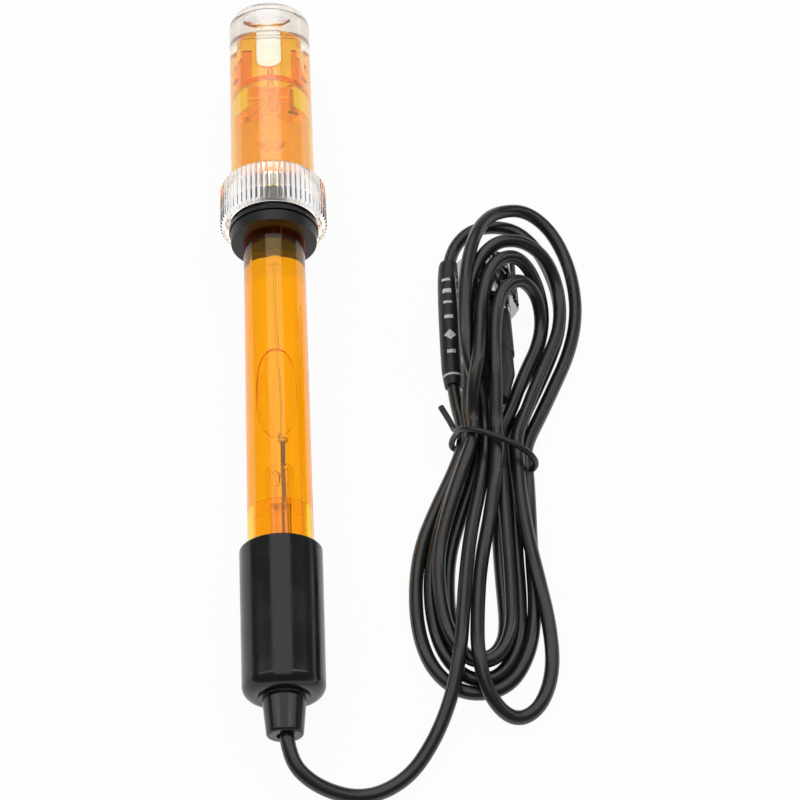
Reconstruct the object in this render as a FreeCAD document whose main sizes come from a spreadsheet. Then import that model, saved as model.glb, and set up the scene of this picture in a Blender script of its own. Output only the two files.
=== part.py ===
import FreeCAD, Part
import math
import os
import Sketcher

# Redox (ORP) electrode, lying on its side with its storage bottle on and its lead tied in a hank.
# +Y runs along the electrode towards its tip, +Z is up, the origin is under the middle of it.

os.makedirs("parts", exist_ok=True)
doc = FreeCAD.newDocument("redox_electrode")
sheet = doc.addObject("Spreadsheet::Sheet", "Sizes")

# Driving dimensions in millimetres. Stations along the electrode start at the cable end.
DRIVING = {
    # amber body: shaft, mould draft in front of it, spigot that is glued into the cap
    "shaft_radius": 6.0,
    "front_draft": 0.16,
    "spigot_radius": 5.5,
    "spigot_length": 18.0,
    "body_wall": 1.15,
    "clear_shaft": 67.0,
    "tube_exposed": 104.0,
    # slotted guard round the tip
    "guard_length": 12.9,
    "guard_wall": 1.25,
    "slot_width": 4.4,
    "slot_depth": 10.0,
    "guard_edge": 0.4,
    # tip plug, junction, stem and platinum pin
    "plug_depth": 6.0,
    "plug_lip": 1.2,
    "glue_gap": 0.02,
    "junction_radius": 0.75,
    "junction_offset": 3.0,
    "junction_proud": 0.4,
    "stem_radius": 1.0,
    "stem_length": 44.0,
    "bulb_radius": 2.15,
    "bulb_length": 9.3,
    "bulb_setback": 3.6,
    "bulb_shoulder": 2.0,
    "bulb_round": 1.0,
    "pin_radius": 0.5,
    "pin_length": 4.2,
    # wires and seals inside the body
    "seal_reach": 8.2,
    "seal_length": 14.0,
    "sleeve_radius": 1.85,
    "sleeve_wall": 0.5,
    "sleeve_reach": 16.0,
    "bead_radius": 0.7,
    "bead_station": 57.0,
    "signal_radius": 0.3,
    "platinum_radius": 0.22,
    "reference_radius": 0.28,
    "reference_offset": 3.3,
    "reference_gap": 4.0,
    "reference_bow": 24.0,
    "reference_run": 18.0,
    # cap with its moulded cable stub
    "stub_length": 7.0,
    "cap_length": 28.2,
    "cap_rim_radius": 7.5,
    "cap_back_radius": 7.3,
    "cap_round": 2.2,
    "cap_rim_round": 0.4,
    "stub_root_radius": 3.85,
    "stub_end_radius": 3.2,
    "stub_round": 0.5,
    "stub_ridge_radius": 4.6,
    "stub_ridge_height": 0.45,
    "cable_bore_radius": 1.5,
    "cable_bore_depth": 5.0,
    # seal collar, knurled nut and storage bottle
    "collar_gap": 0.4,
    "grip_gap": 0.05,
    "collar_skirt": 2.4,
    "collar_flange": 0.9,
    "collar_neck": 1.8,
    "collar_washer": 2.6,
    "collar_plug": 3.8,
    "collar_face_radius": 8.4,
    "collar_top_radius": 8.6,
    "flange_radius": 8.8,
    "neck_radius": 7.5,
    "washer_radius": 8.45,
    "collar_chamfer": 0.3,
    "turning_gap": 0.3,
    "end_play": 0.1,
    "nut_radius": 10.5,
    "nut_length": 10.2,
    "nut_lip": 1.4,
    "nut_chamfer": 0.7,
    "nut_top_chamfer": 1.1,
    "knurl_depth": 0.5,
    "knurl_count": 60,
    "thread_gap": 0.05,
    "bottle_radius": 8.35,
    "bottle_wall": 1.0,
    "bottle_end": 1.4,
    "bottle_thread_radius": 8.72,
    "bottle_thread_length": 5.4,
    "bottle_length": 48.0,
    "bottle_edge": 0.8,
    # cable, hank, tie and marker sleeve
    "cable_radius": 1.3,
    "waist_x": 40.5,
    "waist_y": -20.5,
    "waist_radius": 7.2,
    "top_lobe_x": 5.7,
    "top_lobe_y": 40.5,
    "top_lobe_radius": 13.9,
    "low_lobe_x": -5.2,
    "low_lobe_y": -42.3,
    "low_lobe_radius": 13.4,
    "low_height": 8.5,
    "crest_height": 16.6,
    "crest_width": 20.0,
    "eye_length": 11.0,
    "eye_radius": 2.3,
    "tie_radius": 0.6,
    "tie_turn": -25.0,
    "marker_length": 28.0,
    "marker_radius": 1.85,
    "marker_x": 33.7,
    "marker_y": -6.5,
    # coaxial plug on the far end of the cable
    "plug_x": 41.3,
    "plug_y": -12.6,
    "boot_length": 19.5,
    "boot_tail_radius": 2.2,
    "boot_front_radius": 4.2,
    "boot_bore_depth": 5.0,
    "boot_taper": 5.6,
    "boot_grip": 9.4,
    "boot_step": 0.3,
    "ferrule_radius": 3.9,
    "ferrule_length": 1.2,
    "shank_radius": 4.2,
    "shank_length": 3.4,
    "contact_radius": 4.05,
    "contact_wall": 0.45,
    "contact_length": 7.0,
    "insulator_radius": 2.4,
    "insulator_length": 4.4,
    "plug_pin_radius": 0.68,
    "plug_pin_length": 6.2,
    "gasket_length": 1.2,
    "coupling_radius": 6.0,
    "coupling_length": 10.7,
    "coupling_wall": 1.25,
    "coupling_gap": 0.1,
    "coupling_edge": 0.5,
    "coupling_ribs": 20,
    "coupling_groove": 0.4,
    "bayonet_width": 2.3,
    "bayonet_reach": 5.2,
    "bayonet_shift": 2.9,
    "soft_gap": 0.6,
}

for row, (alias, value) in enumerate(DRIVING.items(), start=1):
    sheet.set(f"A{row}", alias)
    sheet.set(f"B{row}", str(value))
    sheet.setAlias(f"B{row}", alias)
doc.recompute()


class Dim:
    """A size with its value and the expression on the sheet that gives it."""

    def __init__(self, value, text):
        self.value = float(value)
        self.text = text

    def __add__(self, other):
        other = dim(other)
        return Dim(self.value + other.value, f"({self.text} + {other.text})")

    def __sub__(self, other):
        other = dim(other)
        return Dim(self.value - other.value, f"({self.text} - {other.text})")

    def __mul__(self, other):
        other = dim(other)
        return Dim(self.value * other.value, f"({self.text} * {other.text})")

    def __truediv__(self, other):
        other = dim(other)
        return Dim(self.value / other.value, f"({self.text} / {other.text})")

    def __neg__(self):
        return dim(0) - self


def dim(number):
    return number if isinstance(number, Dim) else Dim(number, str(number))


class Sheet:
    """Every driving size by its alias, as a Dim."""


s = Sheet()
for alias in DRIVING:
    setattr(s, alias, Dim(getattr(sheet, alias), f"Sizes.{alias}"))

# Stations along the electrode, from the end of the cable stub
CAP_BACK = s.stub_length
CAP_RIM = CAP_BACK + s.cap_length
SHAFT_END = CAP_RIM + s.clear_shaft
TUBE_END = CAP_RIM + s.tube_exposed
GUARD_END = TUBE_END + s.guard_length
COLLAR_FACE = SHAFT_END + s.collar_gap
FLANGE = COLLAR_FACE + s.collar_skirt
NECK = FLANGE + s.collar_flange
WASHER = NECK + s.collar_neck
WASHER_TOP = WASHER + s.collar_washer
NUT_FACE = NECK + s.end_play
NUT_TOP = NUT_FACE + s.nut_length
MOUTH = WASHER_TOP + s.end_play
BOTTLE_TOP = MOUTH + s.bottle_length
FRONT_RADIUS = s.shaft_radius - s.front_draft
BODY_BORE = s.shaft_radius - s.body_wall

# How it lies: on the round edge behind the cap and on the lower edge of the nut
REST_BACK = CAP_BACK + s.cap_round
REST_FRONT = NUT_FACE + s.nut_chamfer
TILT = math.atan2(
    s.nut_radius.value - s.cap_back_radius.value,
    REST_FRONT.value - REST_BACK.value,
)
MIDDLE = BOTTLE_TOP / 2
LEAN_SHIFT = (s.bottle_radius.value - s.bottle_edge.value - s.stub_end_radius.value) * math.sin(TILT) / 2
AXIS_HEIGHT = (
    s.cap_back_radius.value * math.cos(TILT)
    + (MIDDLE.value - REST_BACK.value) * math.sin(TILT)
)


def on_axis(station):
    """The point of the tilted electrode axis at a station."""
    along = station - MIDDLE.value
    return FreeCAD.Vector(
        0,
        along * math.cos(TILT) - LEAN_SHIFT,
        AXIS_HEIGHT + along * math.sin(TILT),
    )


LYING = FreeCAD.Placement(
    on_axis(0),
    FreeCAD.Rotation(FreeCAD.Vector(1, 0, 0), math.degrees(TILT) - 90),
)
PLUG_LYING = FreeCAD.Placement(
    FreeCAD.Vector(s.plug_x.value, s.plug_y.value, s.coupling_radius.value),
    FreeCAD.Rotation(FreeCAD.Vector(1, 0, 0), -90),
)


def sketch_on(body, name, role):
    plane = [item for item in body.Origin.OriginFeatures if item.Role == role][0]
    sketch = body.newObject("Sketcher::SketchObject", name)
    sketch.AttachmentSupport = [(plane, "")]
    sketch.MapMode = "FlatFace"
    return sketch


def drive(sketch, constraint, name, size):
    """Add a dimension to a sketch and bind it to the sheet."""
    index = sketch.addConstraint(constraint)
    sketch.renameConstraint(index, name)
    sketch.setExpression(f"Constraints.{name}", size.text)


def pin_point(sketch, geometry, end, name, across, up):
    """Fix a point of a sketch at two sizes from the sketch origin."""
    if across.value == 0:
        sketch.addConstraint(Sketcher.Constraint("PointOnObject", geometry, end, -2))
    else:
        distance = Sketcher.Constraint("DistanceX", -1, 1, geometry, end, across.value)
        drive(sketch, distance, f"{name}_x", across)
    if up.value == 0:
        sketch.addConstraint(Sketcher.Constraint("PointOnObject", geometry, end, -1))
    else:
        distance = Sketcher.Constraint("DistanceY", -1, 1, geometry, end, up.value)
        drive(sketch, distance, f"{name}_y", up)


def outline(sketch, points):
    """Close straight lines through points given as pairs of sizes."""
    corners = [(dim(across), dim(up)) for across, up in points]
    for index, (across, up) in enumerate(corners):
        far_across, far_up = corners[(index + 1) % len(corners)]
        sketch.addGeometry(Part.LineSegment(
            FreeCAD.Vector(across.value, up.value, 0),
            FreeCAD.Vector(far_across.value, far_up.value, 0),
        ))
    for index, (across, up) in enumerate(corners):
        before = (index - 1) % len(corners)
        sketch.addConstraint(Sketcher.Constraint("Coincident", before, 2, index, 1))
        pin_point(sketch, index, 1, f"corner{index}", across, up)


def turned(label, points, placement):
    """A turned piece: points are pairs of radius and station."""
    body = doc.addObject("PartDesign::Body", label)
    sketch = sketch_on(body, f"{label}_profile", "XZ_Plane")
    outline(sketch, points)
    turning = body.newObject("PartDesign::Revolution", f"{label}_turning")
    turning.Profile = sketch
    turning.ReferenceAxis = (sketch, ["V_Axis"])
    turning.Angle = 360
    body.Placement = placement
    doc.recompute()
    return body


def rims(feature, circles):
    """Names of the circular edges with a given radius and station."""
    names = []
    for number, edge in enumerate(feature.Shape.Edges, start=1):
        if not isinstance(edge.Curve, Part.Circle):
            continue
        for radius, station in circles:
            near_radius = abs(edge.Curve.Radius - dim(radius).value) < 1e-4
            near_station = abs(edge.Curve.Center.z - dim(station).value) < 1e-4
            if near_radius and near_station:
                names.append(f"Edge{number}")
    return names


def eased(body, kind, size, circles):
    """Round or chamfer the given rims of a turned piece."""
    base = body.Tip
    names = rims(base, circles)
    ease = body.newObject(f"PartDesign::{kind}", f"{body.Name}_{kind.lower()}")
    ease.Base = (base, names)
    ease.setExpression("Radius" if kind == "Fillet" else "Size", size.text)
    doc.recompute()


def cut_through(body, name, role, both_ways=True):
    """A sketch and the pocket that follows it right through a body."""
    sketch = sketch_on(body, name, role)
    pocket = body.newObject("PartDesign::Pocket", f"{name}_cut")
    pocket.Profile = sketch
    pocket.Type = "ThroughAll"
    pocket.Midplane = both_ways
    return sketch, pocket


def repeated(body, feature, count):
    """Repeat a cut round the long axis of a piece."""
    pattern = body.newObject("PartDesign::PolarPattern", f"{feature.Name}_pattern")
    pattern.Originals = [feature]
    axis = [item for item in body.Origin.OriginFeatures if item.Role == "Z_Axis"][0]
    pattern.Axis = (axis, [""])
    pattern.Angle = 360
    pattern.setExpression("Occurrences", dim(count).text)
    body.Tip = pattern
    doc.recompute()
    return pattern


def body_tube():
    """Amber tube: spigot in the cap, plain shaft, and the front that tapers with the mould's draft."""
    foot = CAP_RIM - s.spigot_length
    return turned("body_tube", [
        (BODY_BORE, foot),
        (s.spigot_radius, foot),
        (s.spigot_radius, CAP_RIM),
        (s.shaft_radius, CAP_RIM),
        (s.shaft_radius, SHAFT_END),
        (FRONT_RADIUS, TUBE_END),
        (BODY_BORE, TUBE_END),
    ], LYING)


def tip_guard():
    """Amber guard ring with four open slots that leave four prongs round the sensing pin."""
    bore = FRONT_RADIUS - s.guard_wall
    body = turned("tip_guard", [
        (bore, TUBE_END),
        (FRONT_RADIUS, TUBE_END),
        (FRONT_RADIUS, GUARD_END),
        (bore, GUARD_END),
    ], LYING)
    eased(body, "Fillet", s.guard_edge, [(FRONT_RADIUS, GUARD_END)])
    sketch, slot = cut_through(body, "guard_slot", "XZ_Plane")
    half = s.slot_width / 2
    floor = GUARD_END - s.slot_depth + half
    mouth = GUARD_END + s.slot_width
    left = FreeCAD.Vector(-half.value, floor.value, 0)
    right = FreeCAD.Vector(half.value, floor.value, 0)
    arc = Part.Circle(FreeCAD.Vector(0, floor.value, 0), FreeCAD.Vector(0, 0, 1), half.value)
    sketch.addGeometry(Part.ArcOfCircle(arc, math.pi, 2 * math.pi))
    sketch.addGeometry(Part.LineSegment(right, FreeCAD.Vector(half.value, mouth.value, 0)))
    sketch.addGeometry(Part.LineSegment(
        FreeCAD.Vector(half.value, mouth.value, 0),
        FreeCAD.Vector(-half.value, mouth.value, 0),
    ))
    sketch.addGeometry(Part.LineSegment(FreeCAD.Vector(-half.value, mouth.value, 0), left))
    sketch.addConstraint(Sketcher.Constraint("Tangent", 0, 2, 1, 1))
    sketch.addConstraint(Sketcher.Constraint("Coincident", 1, 2, 2, 1))
    sketch.addConstraint(Sketcher.Constraint("Coincident", 2, 2, 3, 1))
    sketch.addConstraint(Sketcher.Constraint("Tangent", 3, 2, 0, 1))
    sketch.addConstraint(Sketcher.Constraint("PointOnObject", 0, 3, -2))
    sketch.addConstraint(Sketcher.Constraint("Vertical", 1))
    sketch.addConstraint(Sketcher.Constraint("Horizontal", 2))
    drive(sketch, Sketcher.Constraint("Radius", 0, half.value), "half_slot", half)
    drive(sketch, Sketcher.Constraint("DistanceY", -1, 1, 0, 3, floor.value), "slot_floor", floor)
    drive(sketch, Sketcher.Constraint("DistanceY", -1, 1, 2, 1, mouth.value), "slot_mouth", mouth)
    doc.recompute()
    repeated(body, slot, 4)
    return body


def tip_plug():
    """Plug that closes the tube at the tip, with a lip that centres the guard."""
    inner = TUBE_END - s.plug_depth
    lip = TUBE_END + s.plug_lip
    radius = BODY_BORE - s.glue_gap
    lip_radius = FRONT_RADIUS - s.guard_wall - s.glue_gap
    stem_hole = s.stem_radius + s.glue_gap
    body = turned("tip_plug", [
        (stem_hole, inner),
        (radius, inner),
        (radius, TUBE_END),
        (lip_radius, TUBE_END),
        (lip_radius, lip),
        (stem_hole, lip),
    ], LYING)
    sketch, hole = cut_through(body, "junction_hole", "XY_Plane", both_ways=True)
    radius = s.junction_radius + s.glue_gap
    centre = FreeCAD.Vector(s.junction_offset.value, 0, 0)
    sketch.addGeometry(Part.Circle(centre, FreeCAD.Vector(0, 0, 1), radius.value))
    pin_point(sketch, 0, 3, "junction", s.junction_offset, dim(0))
    drive(sketch, Sketcher.Constraint("Radius", 0, radius.value), "junction_radius", radius)
    doc.recompute()
    return body


def rod(label, radius, start, end, offset=0.0):
    """A plain round rod along the electrode, set off sideways from its axis."""
    piece = doc.addObject("Part::Cylinder", label)
    piece.setExpression("Radius", radius.text)
    piece.setExpression("Height", (end - start).text)
    shift = FreeCAD.Placement(FreeCAD.Vector(offset, 0, start.value), FreeCAD.Rotation())
    piece.Placement = LYING.multiply(shift)
    return piece


def junction_frit():
    """Porous ceramic rod through the tip plug, which lets the electrolyte meet the sample."""
    start = TUBE_END - s.plug_depth
    end = TUBE_END + s.plug_lip + s.junction_proud
    return rod("junction_frit", s.junction_radius, start, end, s.junction_offset.value)


def glass_stem():
    """Thin glass stem that seals the platinum, with its round-ended bulb."""
    front = TUBE_END + s.plug_lip
    start = front - s.stem_length
    bulb_end = TUBE_END - s.bulb_setback - s.plug_depth / 2
    bulb_start = bulb_end - s.bulb_length
    body = turned("glass_stem", [
        (0, start),
        (s.stem_radius, start),
        (s.stem_radius, bulb_start),
        (s.bulb_radius, bulb_start + s.bulb_shoulder),
        (s.bulb_radius, bulb_end - s.bulb_shoulder),
        (s.stem_radius, bulb_end),
        (s.stem_radius, front),
        (0, front),
    ], LYING)
    eased(body, "Fillet", s.bulb_round, [
        (s.bulb_radius, bulb_start + s.bulb_shoulder),
        (s.bulb_radius, bulb_end - s.bulb_shoulder),
    ])
    return body


def platinum_pin():
    """Bare platinum pin that stands out of the tip plug, with a round end."""
    front = TUBE_END + s.plug_lip
    body = turned("platinum_pin", [
        (0, front),
        (s.pin_radius, front),
        (s.pin_radius, front + s.pin_length),
        (0, front + s.pin_length),
    ], LYING)
    eased(body, "Fillet", s.pin_radius * 0.9, [(s.pin_radius, front + s.pin_length)])
    return body


def stem_seal():
    """Cast seal that closes the back of the tube round the lead sleeve."""
    front = CAP_RIM + s.seal_reach
    back = front - s.seal_length
    hole = s.sleeve_radius + s.glue_gap
    return turned("stem_seal", [
        (hole, back),
        (BODY_BORE - s.glue_gap, back),
        (BODY_BORE - s.glue_gap, front),
        (hole, front),
    ], LYING)


def lead_sleeve():
    """Clear sleeve that carries the wires out of the electrolyte into the cap."""
    back = CAP_RIM + s.seal_reach - s.seal_length
    front = CAP_RIM + s.sleeve_reach
    bore = s.sleeve_radius - s.sleeve_wall
    return turned("lead_sleeve", [
        (bore, back),
        (s.sleeve_radius, back),
        (s.sleeve_radius, front),
        (bore, front),
    ], LYING)


# Side offsets of the two wires where they run through the lead sleeve
SIGNAL_SIDE = 0.55
REFERENCE_SIDE = -0.55


def rounded_path(points, share):
    """Straight runs joined by tangent arcs, with the radius of every arc."""
    edges = []
    radii = []
    start = points[0]
    for before, corner, after in zip(points, points[1:], points[2:]):
        inward = (before - corner).normalize()
        outward = (after - corner).normalize()
        half_turn = (math.pi - inward.getAngle(outward)) / 2
        setback = share * min((before - corner).Length, (after - corner).Length)
        radius = setback / math.tan(half_turn)
        radii.append(radius)
        first = corner + inward * setback
        last = corner + outward * setback
        bisector = (inward + outward).normalize()
        centre_distance = radius / math.cos(half_turn)
        middle = corner + bisector * (centre_distance - radius)
        edges.append(Part.LineSegment(start, first).toShape())
        edges.append(Part.Arc(first, middle, last).toShape())
        start = last
    edges.append(Part.LineSegment(start, points[-1]).toShape())
    return Part.Wire(edges), radii


def swept_round(label, points, radius, share, placement):
    """A round wire or cable along a path; its volume is compared with its section."""
    path, radii = rounded_path(points, share)
    first = path.Edges[0]
    heading = first.tangentAt(first.FirstParameter)
    circle = Part.Circle(points[0], heading, radius)
    profile = Part.Wire([circle.toShape()])
    solid = path.makePipeShell([profile], True, False)
    piece = doc.addObject("Part::Feature", label)
    piece.Shape = solid
    piece.Placement = placement
    expected = math.pi * radius ** 2 * path.Length
    print(label, "length", round(path.Length, 2), "radii", [round(value, 2) for value in radii])
    if abs(solid.Volume - expected) > 0.01 * expected:
        raise ValueError(f"{label} has the wrong volume")
    return piece


def signal_wire():
    """Insulated red wire from the cap to the soldered joint behind the stem."""
    back = CAP_RIM + s.seal_reach - s.seal_length
    return rod("signal_wire", s.signal_radius, back, s.bead_station - s.bead_radius, SIGNAL_SIDE)


def solder_bead():
    """Round soldered joint between the red wire and the thin platinum lead."""
    bead = doc.addObject("Part::Sphere", "solder_bead")
    bead.setExpression("Radius", s.bead_radius.text)
    place = FreeCAD.Placement(
        FreeCAD.Vector(SIGNAL_SIDE, 0, s.bead_station.value), FreeCAD.Rotation())
    bead.Placement = LYING.multiply(place)
    return bead


def platinum_lead():
    """Thin bare wire from the soldered joint to the back of the glass stem."""
    start = s.bead_station.value + s.bead_radius.value
    end = (TUBE_END + s.plug_lip - s.stem_length).value
    span = end - start
    points = [
        FreeCAD.Vector(SIGNAL_SIDE, 0, start),
        FreeCAD.Vector(0.7, 0.3, start + span * 0.3),
        FreeCAD.Vector(-0.2, 0.4, start + span * 0.65),
        FreeCAD.Vector(0, 0, end),
    ]
    return swept_round("platinum_lead", points, s.platinum_radius.value, 0.45, LYING)


def reference_wire():
    """Coated silver wire beside the stem, the reference half of the cell."""
    back = (CAP_RIM + s.seal_reach - s.seal_length).value
    sleeve = (CAP_RIM + s.sleeve_reach).value
    end = (TUBE_END - s.plug_depth - s.reference_gap).value
    side = -s.reference_offset.value
    points = [
        FreeCAD.Vector(REFERENCE_SIDE, 0, back),
        FreeCAD.Vector(REFERENCE_SIDE, 0.05, sleeve + 2.0),
        FreeCAD.Vector(side * 0.9, 0.6, sleeve + s.reference_bow.value),
        FreeCAD.Vector(side, 1.0, end - s.reference_run.value),
        FreeCAD.Vector(side * 0.9, 0.2, end),
    ]
    return swept_round("reference_wire", points, s.reference_radius.value, 0.45, LYING)


def cap():
    """Black cap: tapered shell, rounded back, ridge and tapered cable stub in one moulding."""
    socket_radius = s.spigot_radius + s.glue_gap
    socket_floor = CAP_RIM - s.spigot_length
    ridge_back = CAP_BACK - s.stub_ridge_height
    body = turned("cap", [
        (0, s.cable_bore_depth),
        (s.cable_bore_radius, s.cable_bore_depth),
        (s.cable_bore_radius, 0),
        (s.stub_end_radius, 0),
        (s.stub_root_radius, ridge_back),
        (s.stub_ridge_radius, ridge_back),
        (s.stub_ridge_radius, CAP_BACK),
        (s.cap_back_radius, CAP_BACK),
        (s.cap_rim_radius, CAP_RIM),
        (socket_radius, CAP_RIM),
        (socket_radius, socket_floor),
        (0, socket_floor),
    ], LYING)
    eased(body, "Fillet", s.cap_round, [(s.cap_back_radius, CAP_BACK)])
    eased(body, "Fillet", s.cap_rim_round, [(s.cap_rim_radius, CAP_RIM)])
    eased(body, "Fillet", s.stub_round, [(s.stub_end_radius, 0)])
    return body


def seal_collar():
    """Black rubber collar that grips the shaft and seals the bottle's mouth."""
    bore = s.shaft_radius + s.grip_gap
    return turned("seal_collar", [
        (bore, COLLAR_FACE),
        (s.collar_face_radius, COLLAR_FACE),
        (s.collar_top_radius, FLANGE - s.collar_chamfer),
        (s.collar_top_radius - s.collar_chamfer, FLANGE),
        (s.flange_radius, FLANGE),
        (s.flange_radius, NECK),
        (s.neck_radius, NECK),
        (s.neck_radius, WASHER),
        (s.washer_radius, WASHER),
        (s.washer_radius, WASHER_TOP),
        (s.bottle_radius - s.bottle_wall - s.turning_gap, WASHER_TOP),
        (s.bottle_radius - s.bottle_wall - s.turning_gap, WASHER_TOP + s.collar_plug),
        (bore, WASHER_TOP + s.collar_plug),
    ], LYING)


def bottle_nut():
    """Clear knurled nut: an inner lip behind the collar's washer, and the thread for the bottle."""
    bore = s.bottle_thread_radius + s.thread_gap
    lip_radius = s.neck_radius + s.turning_gap
    lip_top = NUT_FACE + s.nut_lip
    body = turned("bottle_nut", [
        (lip_radius, NUT_FACE),
        (s.nut_radius - s.nut_chamfer, NUT_FACE),
        (s.nut_radius, NUT_FACE + s.nut_chamfer),
        (s.nut_radius, NUT_TOP - s.nut_top_chamfer),
        (s.nut_radius - s.nut_top_chamfer, NUT_TOP),
        (bore, NUT_TOP),
        (bore, lip_top),
        (lip_radius, lip_top),
    ], LYING)
    sketch, groove = cut_through(body, "knurl", "XY_Plane")
    half = s.nut_radius * math.tan(math.pi / s.knurl_count.value) * 0.8
    outline(sketch, [
        (s.nut_radius - s.knurl_depth, 0),
        (s.nut_radius + s.knurl_depth, half * 2),
        (s.nut_radius + s.knurl_depth, -(half * 2)),
    ])
    doc.recompute()
    repeated(body, groove, s.knurl_count)
    return body


def storage_bottle():
    """Clear bottle with a closed end and a plain band where its thread runs."""
    bore = s.bottle_radius - s.bottle_wall
    thread_top = MOUTH + s.bottle_thread_length
    body = turned("storage_bottle", [
        (bore, MOUTH),
        (s.bottle_thread_radius, MOUTH),
        (s.bottle_thread_radius, thread_top),
        (s.bottle_radius, thread_top),
        (s.bottle_radius, BOTTLE_TOP),
        (0, BOTTLE_TOP),
        (0, BOTTLE_TOP - s.bottle_end),
        (bore, BOTTLE_TOP - s.bottle_end),
    ], LYING)
    eased(body, "Fillet", s.bottle_edge, [
        (s.bottle_radius, BOTTLE_TOP),
        (bore, BOTTLE_TOP - s.bottle_end),
    ])
    return body


# Points of the cable's free stretch, in millimetres, from the bottom of the stub's bore
# round in front of the electrode and over the edge of the hank
STUB_FLOOR = on_axis(s.cable_bore_depth.value)
STUB_OUT = on_axis(-3.4)
LEAD_ROUTE = [
    STUB_FLOOR,
    STUB_OUT,
    FreeCAD.Vector(4.6, -87.4, 4.2),
    FreeCAD.Vector(12.8, -89.4, 1.7),
    FreeCAD.Vector(20.6, -86.0, 1.4),
    FreeCAD.Vector(25.8, -79.0, 2.2),
    FreeCAD.Vector(29.2, -71.6, 4.6),
]


def cable_lead():
    """The stretch of the cable that lies loose between the cap and the hank."""
    return swept_round("cable_lead", LEAD_ROUTE, s.cable_radius.value, 0.45, FreeCAD.Placement())


def lobe(sketch, centres, radii, names):
    """Two arcs joined by their outer tangents, as a strap round two pins."""
    (near_x, near_y), (far_x, far_y) = centres
    across = far_x.value - near_x.value
    up = far_y.value - near_y.value
    heading = math.atan2(up, across)
    spread = math.acos((radii[0].value - radii[1].value) / math.hypot(across, up))
    ends = []
    for (x, y), radius in zip(centres, radii):
        centre = FreeCAD.Vector(x.value, y.value, 0)
        for side in (spread, -spread):
            turn = FreeCAD.Vector(math.cos(heading + side), math.sin(heading + side), 0)
            ends.append(centre + turn * radius.value)
    near = Part.Circle(FreeCAD.Vector(near_x.value, near_y.value, 0), FreeCAD.Vector(0, 0, 1), radii[0].value)
    far = Part.Circle(FreeCAD.Vector(far_x.value, far_y.value, 0), FreeCAD.Vector(0, 0, 1), radii[1].value)
    sketch.addGeometry(Part.ArcOfCircle(near, heading + spread, heading - spread + 2 * math.pi))
    sketch.addGeometry(Part.LineSegment(ends[1], ends[3]))
    sketch.addGeometry(Part.ArcOfCircle(far, heading - spread, heading + spread))
    sketch.addGeometry(Part.LineSegment(ends[2], ends[0]))
    for first, second in ((0, 1), (1, 2), (2, 3), (3, 0)):
        sketch.addConstraint(Sketcher.Constraint("Tangent", first, 2, second, 1))
    for arc, (x, y), radius, name in zip((0, 2), centres, radii, names):
        pin_point(sketch, arc, 3, name, x, y)
        constraint = Sketcher.Constraint("Radius", arc, radius.value)
        drive(sketch, constraint, f"{name}_radius", radius)


def padded_lobe(body, name, centres, radii, height):
    sketch = sketch_on(body, name, "XY_Plane")
    lobe(sketch, centres, radii, ("near", "far"))
    pad = body.newObject("PartDesign::Pad", f"{name}_pad")
    pad.Profile = sketch
    pad.setExpression("Length", height.text)
    doc.recompute()


def hank_form():
    """Outer shape of the tied hank: a low lobe, a pinched waist and a lobe heaped over the plug."""
    body = doc.addObject("PartDesign::Body", "hank_form")
    waist = (dim(0), dim(0))
    low = (s.low_lobe_x, s.low_lobe_y)
    top = (s.top_lobe_x, s.top_lobe_y)
    padded_lobe(body, "low_lobe", [waist, low], [s.waist_radius, s.low_lobe_radius], s.low_height)
    padded_lobe(body, "top_lobe", [waist, top], [s.waist_radius, s.top_lobe_radius], s.crest_height)
    side = top[0] + s.top_lobe_radius + 1
    crest = top[0] - s.top_lobe_radius + s.crest_width
    sketch, slope = cut_through(body, "side_slope", "XZ_Plane")
    outline(sketch, [(crest, s.crest_height), (side, s.low_height), (side, s.crest_height)])
    sketch, slope = cut_through(body, "waist_slope", "YZ_Plane")
    outline(sketch, [
        (-s.waist_radius - 1, s.low_height),
        (dim(0), s.low_height),
        (top[1] - s.top_lobe_radius, s.crest_height),
        (top[1] - s.top_lobe_radius, s.crest_height + 1),
        (-s.waist_radius - 1, s.crest_height + 1),
    ])
    for name, x, y, reach in (("top_eye", s.top_lobe_x + 3.2, s.top_lobe_y - s.top_lobe_radius, -s.eye_length),
                              ("low_eye", s.low_lobe_x + 1.3, s.low_lobe_y + 1.5, s.eye_length * 2)):
        sketch, eye = cut_through(body, name, "XY_Plane")
        lobe(sketch, [(x, y), (x - reach * 0.08 if name == "low_eye" else x - 1.9, y + reach)],
             [s.eye_radius, s.eye_radius / 2], ("near", "far"))
    body.Placement = FreeCAD.Placement(
        FreeCAD.Vector(s.waist_x.value, s.waist_y.value, 0), FreeCAD.Rotation())
    doc.recompute()
    return body


def clearance(name, radius, start, end, placement):
    """Round room left in the hank for a piece that lies in it."""
    room = doc.addObject("Part::Cylinder", name)
    room.setExpression("Radius", radius.text)
    room.setExpression("Height", (end - start).text)
    shift = FreeCAD.Placement(FreeCAD.Vector(0, 0, start.value), FreeCAD.Rotation())
    room.Placement = placement.multiply(shift)
    return room


BOOT_END = s.boot_length
FERRULE_END = BOOT_END + s.ferrule_length
SHANK_END = FERRULE_END + s.shank_length
COUPLING_BACK = FERRULE_END + s.coupling_gap
COUPLING_END = COUPLING_BACK + s.coupling_length
CONTACT_END = SHANK_END + s.contact_length
MARKER_LYING = FreeCAD.Placement(
    FreeCAD.Vector(s.marker_x.value, s.marker_y.value, s.marker_radius.value),
    FreeCAD.Rotation(FreeCAD.Vector(1, 0, 0), -90),
)


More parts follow.
